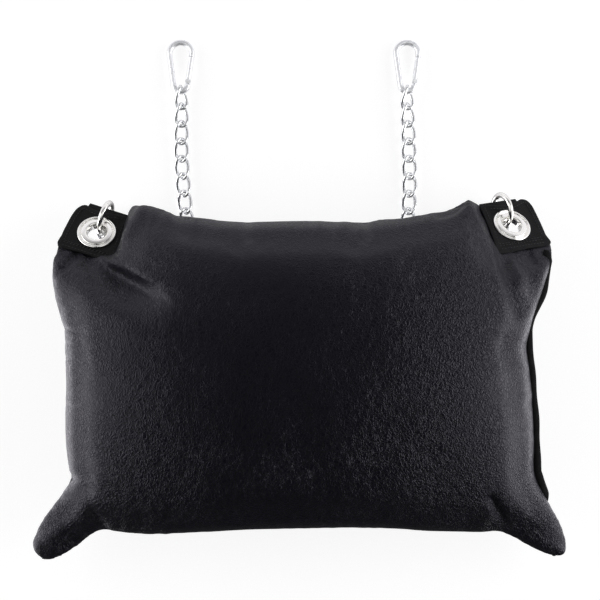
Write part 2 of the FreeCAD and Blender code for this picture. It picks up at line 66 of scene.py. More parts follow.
# The leather runs a little way in under each patch.
RIGHT_PATCH_SEAM = ((270, 50), (264, 64), (240, 59), (208, 53))
RIGHT_PATCH_SIDE = ((208, 53), (205, 60), (201.5, 78), (198.5, 96))
# From the right patch to the left one, with the hump beside each.
UPPER_EDGE = (
    (198.5, 96), (188, 102), (178, 103), (170, 98.5), (160, 93), (135, 88), (107, 83), (81, 81), (69, 78.5),
    (37, 79.5), (0, 80), (-55, 79), (-85, 80.5), (-105, 84), (-129, 86), (-149, 94), (-164, 97.5),
    (-176, 98), (-184, 90),
)
LEFT_PATCH_SIDE = ((-184, 90), (-189, 68), (-194, 48))
LEFT_PATCH_SEAM = ((-194, 48), (-226, 54), (-254, 63), (-259.5, 52))
OUTLINE = (SIDES_AND_BOTTOM, RIGHT_PATCH_SEAM, RIGHT_PATCH_SIDE, UPPER_EDGE, LEFT_PATCH_SIDE, LEFT_PATCH_SEAM)

# Where each chain runs under the soft back of the cushion and dents it, in millimetres.
CHAIN_ROUTE = {
    "left": ((-215, 60), (-190, 31), (-158, 26), (-132, 42), (-121, 72), (-122, 140)),
    "right": ((218, 66), (192, 38), (160, 33), (134, 46), (118, 74), (118, 140)),
}

# Folds in the striking face: points in millimetres, width, depth (a ridge is negative).
FOLDS = (
    (((-196, 39), (-182, 27), (-160, 16), (-134, 7), (-118, -4)), 4.2, 1.6),
    (((-172, 12), (-158, 4), (-146, -6)), 3.0, 0.5),
    (((-152, 10), (-142, 0), (-132, -12)), 3.0, 0.5),
    (((-180, 93), (-180, 80), (-184, 62), (-188, 46)), 9.0, -4.5),
    (((-238, 46), (-248, 34), (-261, 22)), 4.0, 3.0),
    (((-226, 42), (-222, 28), (-210, 12)), 6.0, 1.4),
    (((211, 43), (217, 20), (223, -6), (234, -36)), 6.0, 4.0),
    (((224, 38), (232, 16), (236, -8)), 5.0, -2.0),
    (((256, 30), (250, 2), (238, -28)), 6.0, -3.0),
    (((244, 46), (250, 34), (262, 30)), 3.5, 2.6),
    (((200, -212), (209, -227), (224, -248)), 5.5, 4.4),
    (((190, -236), (198, -230), (206, -222)), 7.0, -1.5),
    (((-243, -193), (-231, -198), (-214, -206)), 5.0, 3.5),
    (((-209, -246), (-216, -229), (-227, -213)), 6.0, 3.0),
    (((-276, -264), (-252, -245), (-218, -230)), 8.0, -4.5),
    (((280, -272), (259, -263), (238, -252)), 7.0, -3.0),
    (((-248, -33), (-236, -36), (-220, -35)), 2.4, 1.8),
    (((-247, -48), (-238, -49), (-226, -46)), 2.0, 1.4),
    (((-247, -64), (-236, -66), (-224, -64)), 2.2, 1.2),
    (((-247, -112), (-240, -113), (-228, -110)), 2.2, 1.0),
    (((-55, 79), (-56, 68), (-50, 56)), 5.0, 1.8),
    (((69, 79), (70, 68), (64, 54)), 5.0, 2.2),
    (((37, 80), (36, 70), (40, 60)), 4.0, 1.0),
    (((-129, 86), (-126, 72), (-120, 60)), 5.0, 1.2),
    (((172, 99), (160, 90), (140, 84)), 4.0, 3.0),
    (((-150, -249), (-140, -232), (-128, -214)), 5.0, 1.0),
    (((-172, -250), (-166, -236), (-160, -220)), 5.0, 1.2),
)

# The leather is stretched smoothest here, where the grain is faint.
WORN_SPOT = (-0.04, -0.04, 0.12)

SEAM_HEIGHT, CORNER_SAG = 66 * MM, 26 * MM
CROWN, BELLY = 76 * MM, 84 * MM
HALF_WIDTH, HALF_HEIGHT = 248 * MM, 164 * MM
MIDDLE_Y = -82.4 * MM
# The leather's edge stands this far out of the seam, and its face this far above it.
FLANGE, LIFT = 1.8 * MM, 1.2 * MM
LEAST_THICKNESS = 6 * MM
DENT_WIDTH, DENT_DEPTH = 32.0, 12.5 * MM
PUCKER_DEPTH = 0.45 * MM
# Half the width of the groove along the seam, in height and across, in millimetres.
GROOVE_HEIGHT, GROOVE_WIDTH = 1.4, 5
SKIN_GRID, SKIN_VOXEL = 0.006, 3.6 * MM
# Grid spacings for the cushion's swell, each with its rounds of relaxing.
SWELL_GRIDS = ((0.016, 600), (0.008, 500), (0.004, 400))
SWELL_EDGE, SWELL_BLEND = 0.003, 0.008
# How the leather settles: held near the seam, free farther in, and moved at most so far.
SETTLING_FRAMES = 20
HELD_BAND, FREEING_BAND, LARGEST_MOVE = 6 * MM, 30 * MM, 5 * MM

# How each corner slopes: eyelet x, y, then tilt, lean and turn in degrees.
CORNERS = {"left": (-218, 68.1, 36, 3, -18), "right": (226.5, 75.6, 42, 24, 41.5)}
EYELET_HEIGHT = 36
# The ring's middle stands this far from the eyelet's; its wire's own radius comes last.
RING_OFFSET, RING_RADIUS, RING_WIRE = 22.9 * MM, 17 * MM, 3 * MM
# How each corner's leather lies: +1 where the bag is on the patch's +X side, and how fast the flat part of
# the leather below the patch widens towards the middle of the bag.
INWARD = {"left": 1, "right": -1}
WIDENING = {"left": 4.65, "right": 0.175}
PATCH_SEAM = 28.5
PATCH_HALF = 32
TUCK_DEPTH, TUCK_MARGIN = 2.8 * MM, 7
EYELET_RIM, CLOTH_HOLE = 21, 11.6
# A patch's webbing core reaches this far from its middle, and its outer cloth this far.
CORE_FACE, CLOTH_FACE = 0.8, 2.0
# Each patch's edge in its corner's own plane, counter-clockwise from the outer end of its seam.
PATCH_EDGES = {
    "left": (
        (-30.5, -30.5), (0, -30.5), (33, -30), (31, -10), (28, 14), (26, 32), (19, 32.3), (4, 29.4),
        (-7, 27.6), (-14, 28.2), (-21, 29.8), (-26, 31.4), (-30, 29.6), (-33, 23), (-34.4, 12),
        (-34.4, 0), (-33.6, -15),
    ),
    "right": (
        (32.5, -31.5), (34.2, -17), (36.2, 0), (37.2, 14), (37.4, 26), (35.6, 32), (30, 34.2), (24.5, 32.4),
        (14.5, 28.6), (4.5, 28.2), (-16, 32), (-24, 32), (-27, 12), (-31, -14), (-34, -33), (0, -32.5),
    ),
}


# ---------------------------------------------------------------- small tools

def smooth_path(points, step):
    """A smooth curve through the points (Catmull-Rom), sampled about every step."""
    points = np.array(points, float)
    ends = (2 * points[0] - points[1], 2 * points[-1] - points[-2])
    knots = np.vstack([ends[0], points, ends[1]])
    out = []
    for a, b, c, d in zip(knots, knots[1:], knots[2:], knots[3:]):
        count = max(2, int(np.linalg.norm(c - b) / step))
        t = np.linspace(0, 1, count, endpoint=False)[:, None]
        out.append(0.5 * (2 * b + (c - a) * t + (2 * a - 5 * b + 4 * c - d) * t ** 2
                          + (3 * b - a - 3 * c + d) * t ** 3))
    return np.vstack([*out, points[-1:]])


def eased(share):
    """Goes smoothly from 0 to 1."""
    share = np.clip(share, 0, 1)
    return share * share * (3 - 2 * share)


def closed_curve(points, step):
    """A smooth closed curve through the points."""
    points = [tuple(p) for p in points]
    around = smooth_path(points[-3:] + points + points[:3], step)
    start = np.argmin(np.linalg.norm(around[:len(around) // 3] - points[0], axis=1))
    end = len(around) // 2 + np.argmin(np.linalg.norm(around[len(around) // 2:] - points[0], axis=1))
    return np.vstack([around[start:end], around[start:start + 1]])


def distance_to(points, path):
    """Each point's distance to a path of straight runs, and how far along the path that is, from 0 to 1."""
    best = np.full(len(points), np.inf)
    along = np.zeros(len(points))
    runs = len(path) - 1
    for i in range(runs):
        start, run = path[i], path[i + 1] - path[i]
        share = np.clip((points - start) @ run / max(run @ run, 1e-12), 0, 1)
        away = points - start - share[:, None] * run
        gap = np.einsum("ij,ij->i", away, away)
        nearer = gap < best
        best[nearer] = gap[nearer]
        along[nearer] = (i + share[nearer]) / runs
    return np.sqrt(best), along


def is_inside(points, loop):
    """Whether each point is inside a closed path, by how often a line from it crosses the path."""
    inside = np.zeros(len(points), bool)
    x, y = points[:, 0], points[:, 1]
    for (x0, y0), (x1, y1) in zip(loop[:-1], loop[1:]):
        if y0 != y1:
            crosses = (y0 > y) != (y1 > y)
            inside ^= crosses & (x < x0 + (y - y0) * (x1 - x0) / (y1 - y0))
    return inside


def new_piece(name, vertices, faces, smooth=True):
    mesh = bpy.data.meshes.new(name)
    mesh.from_pydata([tuple(v) for v in vertices], [], [tuple(f) for f in faces])
    mesh.validate()
    mesh.update()
    if smooth:
        mesh.polygons.foreach_set("use_smooth", [True] * len(mesh.polygons))
    piece = bpy.data.objects.new(name, mesh)
    bpy.context.scene.collection.objects.link(piece)
    return piece


def applied(piece):
    """Turns a piece's modifiers into its mesh."""
    evaluated = piece.evaluated_get(bpy.context.evaluated_depsgraph_get())
    mesh = bpy.data.meshes.new_from_object(evaluated)
    piece.modifiers.clear()
    piece.data = mesh
    mesh.polygons.foreach_set("use_smooth", [True] * len(mesh.polygons))


def points_of(mesh):
    points = np.zeros(len(mesh.vertices) * 3)
    mesh.vertices.foreach_get("co", points)
    return points.reshape(-1, 3)


def normals_of(mesh):
    normals = np.zeros(len(mesh.vertices) * 3)
    mesh.vertices.foreach_get("normal", normals)
    return normals.reshape(-1, 3)


def set_points(mesh, points):
    mesh.vertices.foreach_set("co", points.ravel())
    mesh.update()


def soften(mesh, rounds, share=0.5):
    """Moves each point towards the middle of its neighbours."""
    edges = np.zeros(len(mesh.edges) * 2, int)
    mesh.edges.foreach_get("vertices", edges)
    a, b = edges.reshape(-1, 2).T
    points = points_of(mesh)
    degree = np.bincount(np.concatenate([a, b]), minlength=len(points))[:, None]
    for _ in range(rounds):
        total = np.zeros_like(points)
        np.add.at(total, a, points[b])
        np.add.at(total, b, points[a])
        points += share * (total / degree - points)
    set_points(mesh, points)


# ---------------------------------------------------------------- the cushion

def cushion_outline():
    """The whole seam round the cushion, closed, in metres."""
    runs = [smooth_path(part, 3.0)[:-1] for part in OUTLINE]
    loop = np.vstack([*runs, runs[0][:1]])
    return loop * MM


class Swell:
    """How far the cushion swells: 0 on the seam and 1 in the middle, as a film under pressure."""

    def __init__(self, loop):
        self.loop = loop
        margin = 0.02
        self.low = loop.min(0) - margin
        self.high = loop.max(0) + margin
        field = None
        for step, rounds in SWELL_GRIDS:
            field = self.relaxed(field, step, rounds)
        self.step = step
        self.field = field / field.max()
        xs, ys = self.axes(self.step)
        grid = np.stack(np.meshgrid(xs, ys, indexing="ij"), -1).reshape(-1, 2)
        gap = distance_to(grid, loop)[0].reshape(field.shape)
        known = (self.field > 0) & (gap > SWELL_EDGE)
        slope = np.where(known, self.field / np.maximum(gap, 1e-6), 0)
        for _ in range(6):
            padded = np.pad(slope, 1)
            count = np.pad(known, 1).astype(float)
            around = sum(np.roll(padded, s, axis=k) for s in (1, -1) for k in (0, 1))[1:-1, 1:-1]
            seen = sum(np.roll(count, s, axis=k) for s in (1, -1) for k in (0, 1))[1:-1, 1:-1]
            grown = ~known & (seen > 0)
            slope[grown] = around[grown] / seen[grown]
            known = known | grown
        self.slope = slope

    def axes(self, step):
        return [np.arange(self.low[k], self.high[k] + step, step) for k in (0, 1)]

    def relaxed(self, coarse, step, rounds):
        """The film's height on a grid, started from the one on a grid twice as coarse."""
        xs, ys = self.axes(step)
        grid = np.stack(np.meshgrid(xs, ys, indexing="ij"), -1)
        inside = is_inside(grid.reshape(-1, 2), self.loop).reshape(len(xs), len(ys))
        field = np.zeros(inside.shape)
        if coarse is not None:
            rows = np.minimum(np.arange(len(xs)) // 2, coarse.shape[0] - 1)
            columns = np.minimum(np.arange(len(ys)) // 2, coarse.shape[1] - 1)
            field = coarse[np.ix_(rows, columns)] * inside
        inner = inside[1:-1, 1:-1]
        for _ in range(rounds):
            around = field[2:, 1:-1] + field[:-2, 1:-1] + field[1:-1, 2:] + field[1:-1, :-2]
            field[1:-1, 1:-1] = inner * (around + step ** 2) / 4
        return field

    def sampled(self, values, points):
        """Values between the grid's points."""
        place = (points - self.low) / self.step
        corner = np.clip(place.astype(int), 0, np.array(values.shape) - 2)
        (fx, fy), (i, j) = (place - corner).T, corner.T
        low = values[i, j] * (1 - fx) + values[i + 1, j] * fx
        high = values[i, j + 1] * (1 - fx) + values[i + 1, j + 1] * fx
        return low * (1 - fy) + high * fy

    def at(self, points):
        gap = distance_to(points, self.loop)[0] * is_inside(points, self.loop)
        near = self.sampled(self.slope, points) * gap
        far = self.sampled(self.field, points)
        share = np.clip((gap - SWELL_BLEND) / SWELL_BLEND, 0, 1)
        return np.maximum(0, near * (1 - share) + far * share)


def seam_height(points):
    """The height of the seam at the middle of the edges, sagging towards the corners."""
    u = np.clip(points[:, 0] / HALF_WIDTH, -1, 1)
    v = np.clip((points[:, 1] - MIDDLE_Y) / HALF_HEIGHT, -1, 1)
    return SEAM_HEIGHT - CORNER_SAG * (u * v) ** 2


def filled(loop, spacing, rings=(), holes=()):
    """A flat mesh inside a closed path: rows of points close to the edge, and an even grid farther in."""
    edge = loop[:-1]
    ahead, behind = np.roll(edge, -1, axis=0), np.roll(edge, 1, axis=0)
    along = (ahead - behind) / np.maximum(np.linalg.norm(ahead - behind, axis=1), 1e-9)[:, None]
    turn = 1 if np.sum(edge[:, 0] * ahead[:, 1] - ahead[:, 0] * edge[:, 1]) > 0 else -1
    inward = np.stack([-along[:, 1], along[:, 0]], 1) * turn
    inner = []
    for depth in rings:
        row = edge + inward * depth
        keep = is_inside(row, loop) & (distance_to(row, loop)[0] > 0.9 * depth)
        inner.append(row[keep])
    low, high = edge.min(0), edge.max(0)
    xs = np.arange(low[0], high[0], spacing)
    ys = np.arange(low[1], high[1], spacing)
    grid = np.stack(np.meshgrid(xs, ys, indexing="ij"), -1)
    grid[::2, :, 1] += spacing / 2
    grid = grid.reshape(-1, 2)
    clear = (max(rings) if rings else 0) + 0.5 * spacing
    grid = grid[is_inside(grid, loop) & (distance_to(grid, loop)[0] > clear)]
    for hole in holes:
        near = distance_to(grid, hole)[0] < 0.5 * spacing
        grid = grid[~(near | is_inside(grid, hole))]
    inner.append(grid)
    bounds = [edge] + [hole[:-1] for hole in holes]
    links, start = [], 0
    for bound in bounds:
        count = len(bound)
        links += [(start + i, start + (i + 1) % count) for i in range(count)]
        start += count
    points = np.vstack([*bounds, *inner])
    made = delaunay_2d_cdt([Vector(p) for p in points], links, [], 2 if holes else 1, 1e-7)
    flat = np.array([tuple(p) for p in made[0]])
    faces = np.array([tuple(f) for f in made[2]])
    middles = flat[faces].mean(1)
    keep = is_inside(middles, loop)
    for hole in holes:
        keep &= ~is_inside(middles, hole)
    return flat, faces[keep]


def closed_between(flat, faces, tops, bottoms):
    """A closed mesh from a flat one: its points at two heights, joined round the edge where those differ."""
    count = len(flat)
    order = faces.copy()
    a, b, c = (flat[order[:, k]] for k in range(3))
    area = (b[:, 0] - a[:, 0]) * (c[:, 1] - a[:, 1]) - (b[:, 1] - a[:, 1]) * (c[:, 0] - a[:, 0])
    order[area < 0] = order[area < 0][:, ::-1]
    edges = {}
    for face in order:
        for k in range(3):
            edges[(face[k], face[(k + 1) % 3])] = True
    rim = [e for e in edges if (e[1], e[0]) not in edges]
    vertices = np.vstack([np.column_stack([flat, tops]), np.column_stack([flat, bottoms])])
    joined = [tuple(f) for f in order] + [tuple(f[::-1] + count) for f in order]
    joined += [(a, a + count, b + count, b) for a, b in rim]
    return vertices, joined


def widened(loop, reach):
    """A closed path moved outwards."""
    edge = loop[:-1]
    along = np.roll(edge, -1, axis=0) - np.roll(edge, 1, axis=0)
    along /= np.maximum(np.linalg.norm(along, axis=1), 1e-9)[:, None]
    ahead = np.roll(edge, -1, axis=0)
    turn = 1 if np.sum(edge[:, 0] * ahead[:, 1] - ahead[:, 0] * edge[:, 1]) > 0 else -1
    moved = edge + np.stack([along[:, 1], -along[:, 0]], 1) * turn * reach
    keep = distance_to(moved, loop)[0] > 0.8 * reach
    moved = moved[keep]
    return np.vstack([moved, moved[:1]])


def fold_depth(flat, points, width):
    """How deep a fold is at each place: full along its path, fading across it and towards its far end."""
    path = smooth_path(points, 4.0) * MM
    width = width * MM
    reach = 3 * width
    near = np.all((flat > path.min(0) - reach) & (flat < path.max(0) + reach), axis=1)
    depth = np.zeros(len(flat))
    if near.any():
        gap, along = distance_to(flat[near], path)
        fade = np.clip((1 - along) * 1.6, 0, 1)
        depth[near] = np.exp(-(gap / width) ** 2) * fade * (2 - fade)
    return depth


def seam_puckers(flat, loop, seed=7):
    """Small gathers across the seam, where the leather is drawn together."""
    gap, along = distance_to(flat, loop)
    rng = np.random.default_rng(seed)
    wave = np.zeros(len(flat))
    for cycles in (61, 83, 127):
        wave += np.sin(2 * math.pi * (cycles * along + rng.random())) * rng.uniform(0.6, 1.0)
    slow = 0.5 + 0.5 * np.sin(2 * math.pi * (9 * along + rng.random()))
    return wave * slow * np.exp(-gap / 0.014) * np.clip(gap / 0.002, 0, 1)


def held_by_corner(flat, tops, side, margin=0):
    """The leather near a patch: tucked under it, out to a margin in millimetres, and drawn flat below it."""
    corner = np.array(corner_matrix(side))
    origin, across, up, normal = (corner[:3, k] for k in (3, 0, 1, 2))
    plan = np.linalg.inv(np.column_stack([across[:2], up[:2]]))
    x, y = plan @ (flat - origin[:2]).T
    plane = origin[2] + x * across[2] + y * up[2]
    inward, below = INWARD[side] * x / MM, -PATCH_SEAM - y / MM
    # It dives in under the patch.
    under = eased(-below / 2 - 0.5) * eased((PATCH_HALF + margin - inward) / 3)
    tucked = np.minimum(tops, plane - TUCK_DEPTH / normal[2])
    tops = tops + under * (tucked - tops)
    # Below the seam it comes out from under the patch and rises slowly away from the patch's plane.
    beyond = np.maximum(below, 0)
    drop = 3.2 * (1 - eased((below + 3) / 5))
    limit = plane + (1.2 - drop + 0.05 * beyond + 0.004 * beyond ** 2) * MM
    # The part drawn flat is a wedge that fades far from the patch.
    slope = WIDENING[side]
    edge = (PATCH_HALF + slope * beyond - inward) / math.sqrt(1 + slope ** 2)
    drawn = eased(edge / 5) * eased((below + 3) / 1.5) * (1 - eased((below - 35) / 60))
    drawn *= 1 - eased((inward - 30) / 90)
    # Only what stands higher is brought down, with a soft bend.
    blend = 2.5 * MM
    gap = np.clip((limit - tops) / blend, -30, 30)
    lower = tops - blend * np.log1p(np.exp(-gap))
    return tops + drawn * (np.minimum(lower, tops) - tops)


def settled(piece, loop):
    """Lets the leather settle under the stuffing's pressure, held by its seam."""
    mesh = piece.data
    start = points_of(mesh)
    cloth = piece.modifiers.new("cloth", "CLOTH")
    settings = cloth.settings
    settings.quality = 5
    settings.mass = 0.4
    settings.tension_stiffness = settings.compression_stiffness = 20
    settings.shear_stiffness = 8
    settings.bending_stiffness = 1
    settings.use_pressure = True
    settings.uniform_pressure_force = 6
    settings.effector_weights.gravity = 0
    cloth.point_cache.frame_start, cloth.point_cache.frame_end = 1, SETTLING_FRAMES
    for step in range(1, SETTLING_FRAMES + 1):
        bpy.context.scene.frame_set(step)
    applied(piece)
    bpy.context.scene.frame_set(1)
    move = points_of(piece.data) - start
    length = np.linalg.norm(move, axis=1)
    free = eased((distance_to(start[:, :2], loop)[0] - HELD_BAND) / FREEING_BAND)
    share = free * np.minimum(1, LARGEST_MOVE / np.maximum(length, 1e-9))
    set_points(piece.data, start + move * share[:, None])


def keep_largest_part(mesh):
    """Drops any loose scrap that was pinched off the skin."""
    shape = bmesh.new()
    shape.from_mesh(mesh)
    waiting = set(shape.verts)
    parts = []
    while waiting:
        part, edge = set(), [waiting.pop()]
        while edge:
            point = edge.pop()
            part.add(point)
            beside = [line.other_vert(point) for line in point.link_edges]
            edge += waiting.intersection(beside)
            waiting.difference_update(beside)
        parts.append(part)
    parts.sort(key=len)
    scraps = [point for part in parts[:-1] for point in part]
    bmesh.ops.delete(shape, geom=scraps, context="VERTS")
    shape.to_mesh(mesh)
    shape.free()


def skin_between_seams(loop):
    """The plain swelling skin: a crowned face and a rounder back, dented over the chains."""
    swell = Swell(loop)
    flat, faces = filled(widened(loop, FLANGE), SKIN_GRID, rings=(0.001, 0.003))
    share = swell.at(flat)
    seam = seam_height(flat)
    tops = seam + CROWN * np.sqrt(share) + LIFT
    guard = tops
    bottoms = seam - BELLY * share ** 0.65
    for side in SIDES:
        tops = held_by_corner(flat, tops, side)
        guard = held_by_corner(flat, guard, side, TUCK_MARGIN)
        bottoms += fold_depth(flat, CHAIN_ROUTE[side], DENT_WIDTH) * DENT_DEPTH
    # The back stays below the face, also where the face dives in under a patch.
    bottoms = np.minimum(bottoms, guard - LEAST_THICKNESS)
    bottoms = np.maximum(0.0008, bottoms)
    return closed_between(flat, faces, tops, bottoms)


def creased(mesh, loop):
    """Presses the folds, the seam's gathers and the groove along the seam into the skin."""
    points, normals = points_of(mesh), normals_of(mesh)
    flat = points[:, :2]
    facing = np.clip(normals[:, 2] * 2 + 0.6, 0, 1)
    move = np.zeros(len(points))
    for path, width, depth in FOLDS:
        move -= fold_depth(flat, path, width) * depth * MM
    move += PUCKER_DEPTH * seam_puckers(flat, loop)
    from_seam = (points[:, 2] - seam_height(flat)) / MM
    gap = distance_to(flat, loop)[0] / MM
    groove = np.exp(-(from_seam / GROOVE_HEIGHT) ** 2 - (gap / GROOVE_WIDTH) ** 2) * MM
    move -= groove / np.maximum(facing, 0.05)
    points += normals * (move * facing)[:, None]
    points[:, 2] = np.maximum(points[:, 2], 0)
    set_points(mesh, points)


def cushion(loop):
    """The stuffed leather cover, one closed skin."""
    piece = new_piece("leather_cover", *skin_between_seams(loop))
    remesh = piece.modifiers.new("voxels", "REMESH")
    remesh.mode = "VOXEL"
    remesh.voxel_size = SKIN_VOXEL
    applied(piece)
    keep_largest_part(piece.data)
    soften(piece.data, 3)
    settled(piece, loop)
    soften(piece.data, 2)
    subdivide = piece.modifiers.new("finer", "SUBSURF")
    subdivide.levels = subdivide.render_levels = 1
    applied(piece)
    creased(piece.data, loop)
    soften(piece.data, 1)
    return piece


# ---------------------------------------------------------------- the reinforced corners

def corner_matrix(side):
    """The frame of a reinforced corner: origin in the eyelet, +Y to the patch's upper edge, +Z its normal."""
    x, y, tilt, lean, turn = CORNERS[side]
    turns = (
        Matrix.Rotation(math.radians(-lean), 4, "Z")
        @ Matrix.Rotation(math.radians(-tilt), 4, "X")
        @ Matrix.Rotation(math.radians(turn), 4, "Z")
    )
    return Matrix.Translation(Vector((x, y, EYELET_HEIGHT)) * MM) @ turns


def placed(piece, side):
    piece.data.transform(corner_matrix(side))
    piece.data.update()
    return piece


def circle_loop(radius, count=64):
    turns = np.linspace(0, 2 * math.pi, count + 1)
    return np.stack([np.cos(turns), np.sin(turns)], 1) * radius * MM


def patch_edge(side):
    return closed_curve(PATCH_EDGES[side], 1.5) * MM


def patch_curl(x, y):
    """How far a patch's upper corners curl back, in millimetres."""
    return -2.2 * eased((y - 18) / 22) * eased((np.abs(x) - 6) / 26)


def patch_layer(side, layer):
    """One layer of a corner's patch, with its edge turned in all round."""
    loop = patch_edge(side)
    hole = circle_loop(CLOTH_HOLE)
    flat, faces = filled(loop, 2.0 * MM, rings=(0.5 * MM, 1.4 * MM), holes=(hole,))
    gap = distance_to(flat, loop)[0] / MM
    x, y = (flat / MM).T
    outward = 1 if layer == "front" else -1
    hem = 0.45 * eased((7 - gap) / 1.0) - 0.25 * np.exp(-((gap - 5.2) / 0.5) ** 2)
    edge = 0.6 * np.exp(-gap / 0.5)
    clear = np.clip((np.hypot(x, y) - EYELET_RIM) / 8, 0, 1)
    wave = clear * (0.35 * np.sin(x / 7 + 1.3) * np.sin(y / 9) + 0.12 * np.sin(x / 2.3 + y / 5))
    curl = patch_curl(x, y)
    outer = outward * (CLOTH_FACE + hem - edge) + wave + curl
    inner = outward * CORE_FACE + wave + curl
    tops, bottoms = (outer, inner) if layer == "front" else (inner, outer)
    piece = new_piece(f"corner_patch_{side}_{layer}_cloth",
                      *closed_between(flat, faces, tops * MM, bottoms * MM))
    return placed(piece, side)


def lathe(name, profile, side, segments=128):
    """A turned piece about the eyelet's axis, from a closed profile of (radius, height) in millimetres."""
    count = len(profile)
    vertices, faces = [], []
    for s in range(segments):
        angle = 2 * math.pi * s / segments
        vertices += [(r * MM * math.cos(angle), r * MM * math.sin(angle), z * MM) for r, z in profile]
        ahead = (s + 1) % segments
        faces += [
            (s * count + i, ahead * count + i, ahead * count + (i + 1) % count, s * count + (i + 1) % count)
            for i in range(count)
        ]
    return placed(new_piece(name, vertices, faces), side)


def eyelet(side):
    """The eyelet: a barrel, a broad dished face and a bead rolled round its rim."""
    face_and_bore = smooth_path((
        (10, -4.2), (10, -1), (10, 1.8), (10.4, 3.3), (11.4, 4.1), (13, 4.3), (15.4, 4.0), (16.6, 3.6),
        (17.1, 2.7), (17.6, 2.4), (18.1, 2.7), (18.6, 3.5), (19.5, 3.9), (20.6, 3.5), (21, 2.8), (20.9, 2.1),
    ), 0.35)
    under = ((20.4, 2.02), (12, 2.02), (11.2, 1.8), (11.2, -3.0))
    curl = smooth_path((
        (11.2, -3.0), (12.6, -3.05), (14.1, -3.3), (13.9, -4.0), (12.4, -4.35), (10.8, -4.5),
    ), 0.3)
    profile = [tuple(p) for p in face_and_bore] + list(under) + [tuple(p) for p in curl[1:]]
    return lathe(f"eyelet_{side}_metal", profile, side)


# ---------------------------------------------------------------- thread, rings and tape

def swept(name, path, ups, sections):
    """A piece swept along a path, with its outline across each place on it, as (sideways, upwards)."""
    along = np.gradient(path, axis=0)
    along /= np.linalg.norm(along, axis=1)[:, None]
    sideways = np.cross(along, ups)
    sideways /= np.linalg.norm(sideways, axis=1)[:, None]
    upright = np.cross(sideways, along)
    rows, count = len(path), len(sections[0])
    vertices = []
    for i in range(rows):
        vertices += [tuple(path[i] + sideways[i] * a + upright[i] * b) for a, b in sections[i]]
    faces = []
    for i in range(rows - 1):
        ahead = i + 1
        faces += [
            (i * count + k, i * count + (k + 1) % count, ahead * count + (k + 1) % count, ahead * count + k)
            for k in range(count)
        ]
    faces += [tuple(range(count))[::-1], tuple(range((rows - 1) * count, rows * count))]
    return new_piece(name, vertices, faces)


def stitches(name, path, ups, length=3.0, gap=1.1, radius=0.42):
    """Thread stitches along a path, each a small rounded bar that dips into the cloth at its ends."""
    steps = np.linalg.norm(np.diff(path, axis=0), axis=1)
    travelled = np.concatenate([[0], np.cumsum(steps)])
    around, rings = 6, 5
    vertices, faces = [], []
    place = gap * MM
    while place + length * MM < travelled[-1]:
        ends = [np.array([np.interp(place + s * length * MM, travelled, path[:, k]) for k in range(3)])
                for s in (0, 1)]
        up = np.array([np.interp(place, travelled, ups[:, k]) for k in range(3)])
        run = ends[1] - ends[0]
        side = np.cross(run, up)
        side /= np.linalg.norm(side)
        up = np.cross(side, run)
        up /= np.linalg.norm(up)
        first = len(vertices)
        for i in range(rings):
            share = i / (rings - 1)
            bulge = math.sin(math.pi * (0.08 + 0.84 * share))
            middle = ends[0] + run * share + up * radius * MM * (bulge - 0.6)
            width = radius * MM * (0.35 + 0.65 * bulge)
            for k in range(around):
                angle = 2 * math.pi * k / around
                vertices.append(tuple(middle + width * (side * math.cos(angle) + up * math.sin(angle))))
        for i in range(rings - 1):
            for k in range(around):
                a, b = first + i * around + k, first + i * around + (k + 1) % around
                faces.append((a, b, b + around, a + around))
        faces.append(tuple(first + k for k in range(around))[::-1])
        faces.append(tuple(first + (rings - 1) * around + k for k in range(around)))
        place += (length + gap) * MM
    return new_piece(name, vertices, faces)


def patch_stitches(side):
    """The stitch lines of a patch: double along its seam, and one inside the rest of its edge."""
    rows = []
    half = PATCH_HALF - 3
    for height in (-PATCH_SEAM + 0.2, -PATCH_SEAM + 4.4):
        rows.append(np.array(((-half, height), (half, height))))
    edge = patch_edge(side) / MM
    ahead = np.roll(edge[:-1], -1, axis=0) - np.roll(edge[:-1], 1, axis=0)
    ahead /= np.linalg.norm(ahead, axis=1)[:, None]
    inset = edge[:-1] + np.stack([-ahead[:, 1], ahead[:, 0]], 1) * 5.2
    inset = inset[inset[:, 1] > -PATCH_SEAM + 6]
    first = np.argmax(np.linalg.norm(np.diff(inset, axis=0), axis=1)) + 1
    rows.append(np.roll(inset, -first, axis=0))
    made = []
    for i, row in enumerate(rows):
        steps = np.linspace(0, len(row) - 1, 160)
        line = np.column_stack([np.interp(steps, range(len(row)), row[:, k]) for k in (0, 1)])
        path = np.column_stack([line, CLOTH_FACE + 0.25 + patch_curl(*line.T)]) * MM
        piece = stitches(f"patch_thread_{side}_{i + 1}", path, np.tile((0, 0, 1.0), (160, 1)), length=2.6)
        made.append(placed(piece, side))
    return made


def torus(name, middle, axis, radius, wire, around=128, across=32):
    """A ring of round wire."""
    axis = Vector(axis).normalized()
    first = axis.orthogonal().normalized()
    second = axis.cross(first)
    vertices, faces = [], []
    for i in range(around):
        a = 2 * math.pi * i / around
        out = first * math.cos(a) + second * math.sin(a)
        for k in range(across):
            b = 2 * math.pi * k / across
            vertices.append(tuple(middle + out * (radius + wire * math.cos(b)) + axis * wire * math.sin(b)))
            here, ahead = i * across, (i + 1) % around * across
            beside = (k + 1) % across
            faces.append((here + k, ahead + k, ahead + beside, here + beside))
    return new_piece(name, vertices, faces)


def ring(side):
    """The welded ring through the eyelet."""
    corner = corner_matrix(side)
    middle = corner @ Vector((0, RING_OFFSET, 0))
    axis = corner.to_3x3() @ Vector((1, 0, 0))
    return torus(f"ring_{side}_metal", middle, axis, RING_RADIUS, RING_WIRE)


# Where the closure stands out of the right seam, in millimetres.
TAPE_EDGE = (
    (263, 50), (260, 38), (257, 20), (254, 6), (248, -8), (241, -25), (238.5, -42), (241.5, -88),
    (246, -130), (248, -180), (251, -192), (261, -220),
)


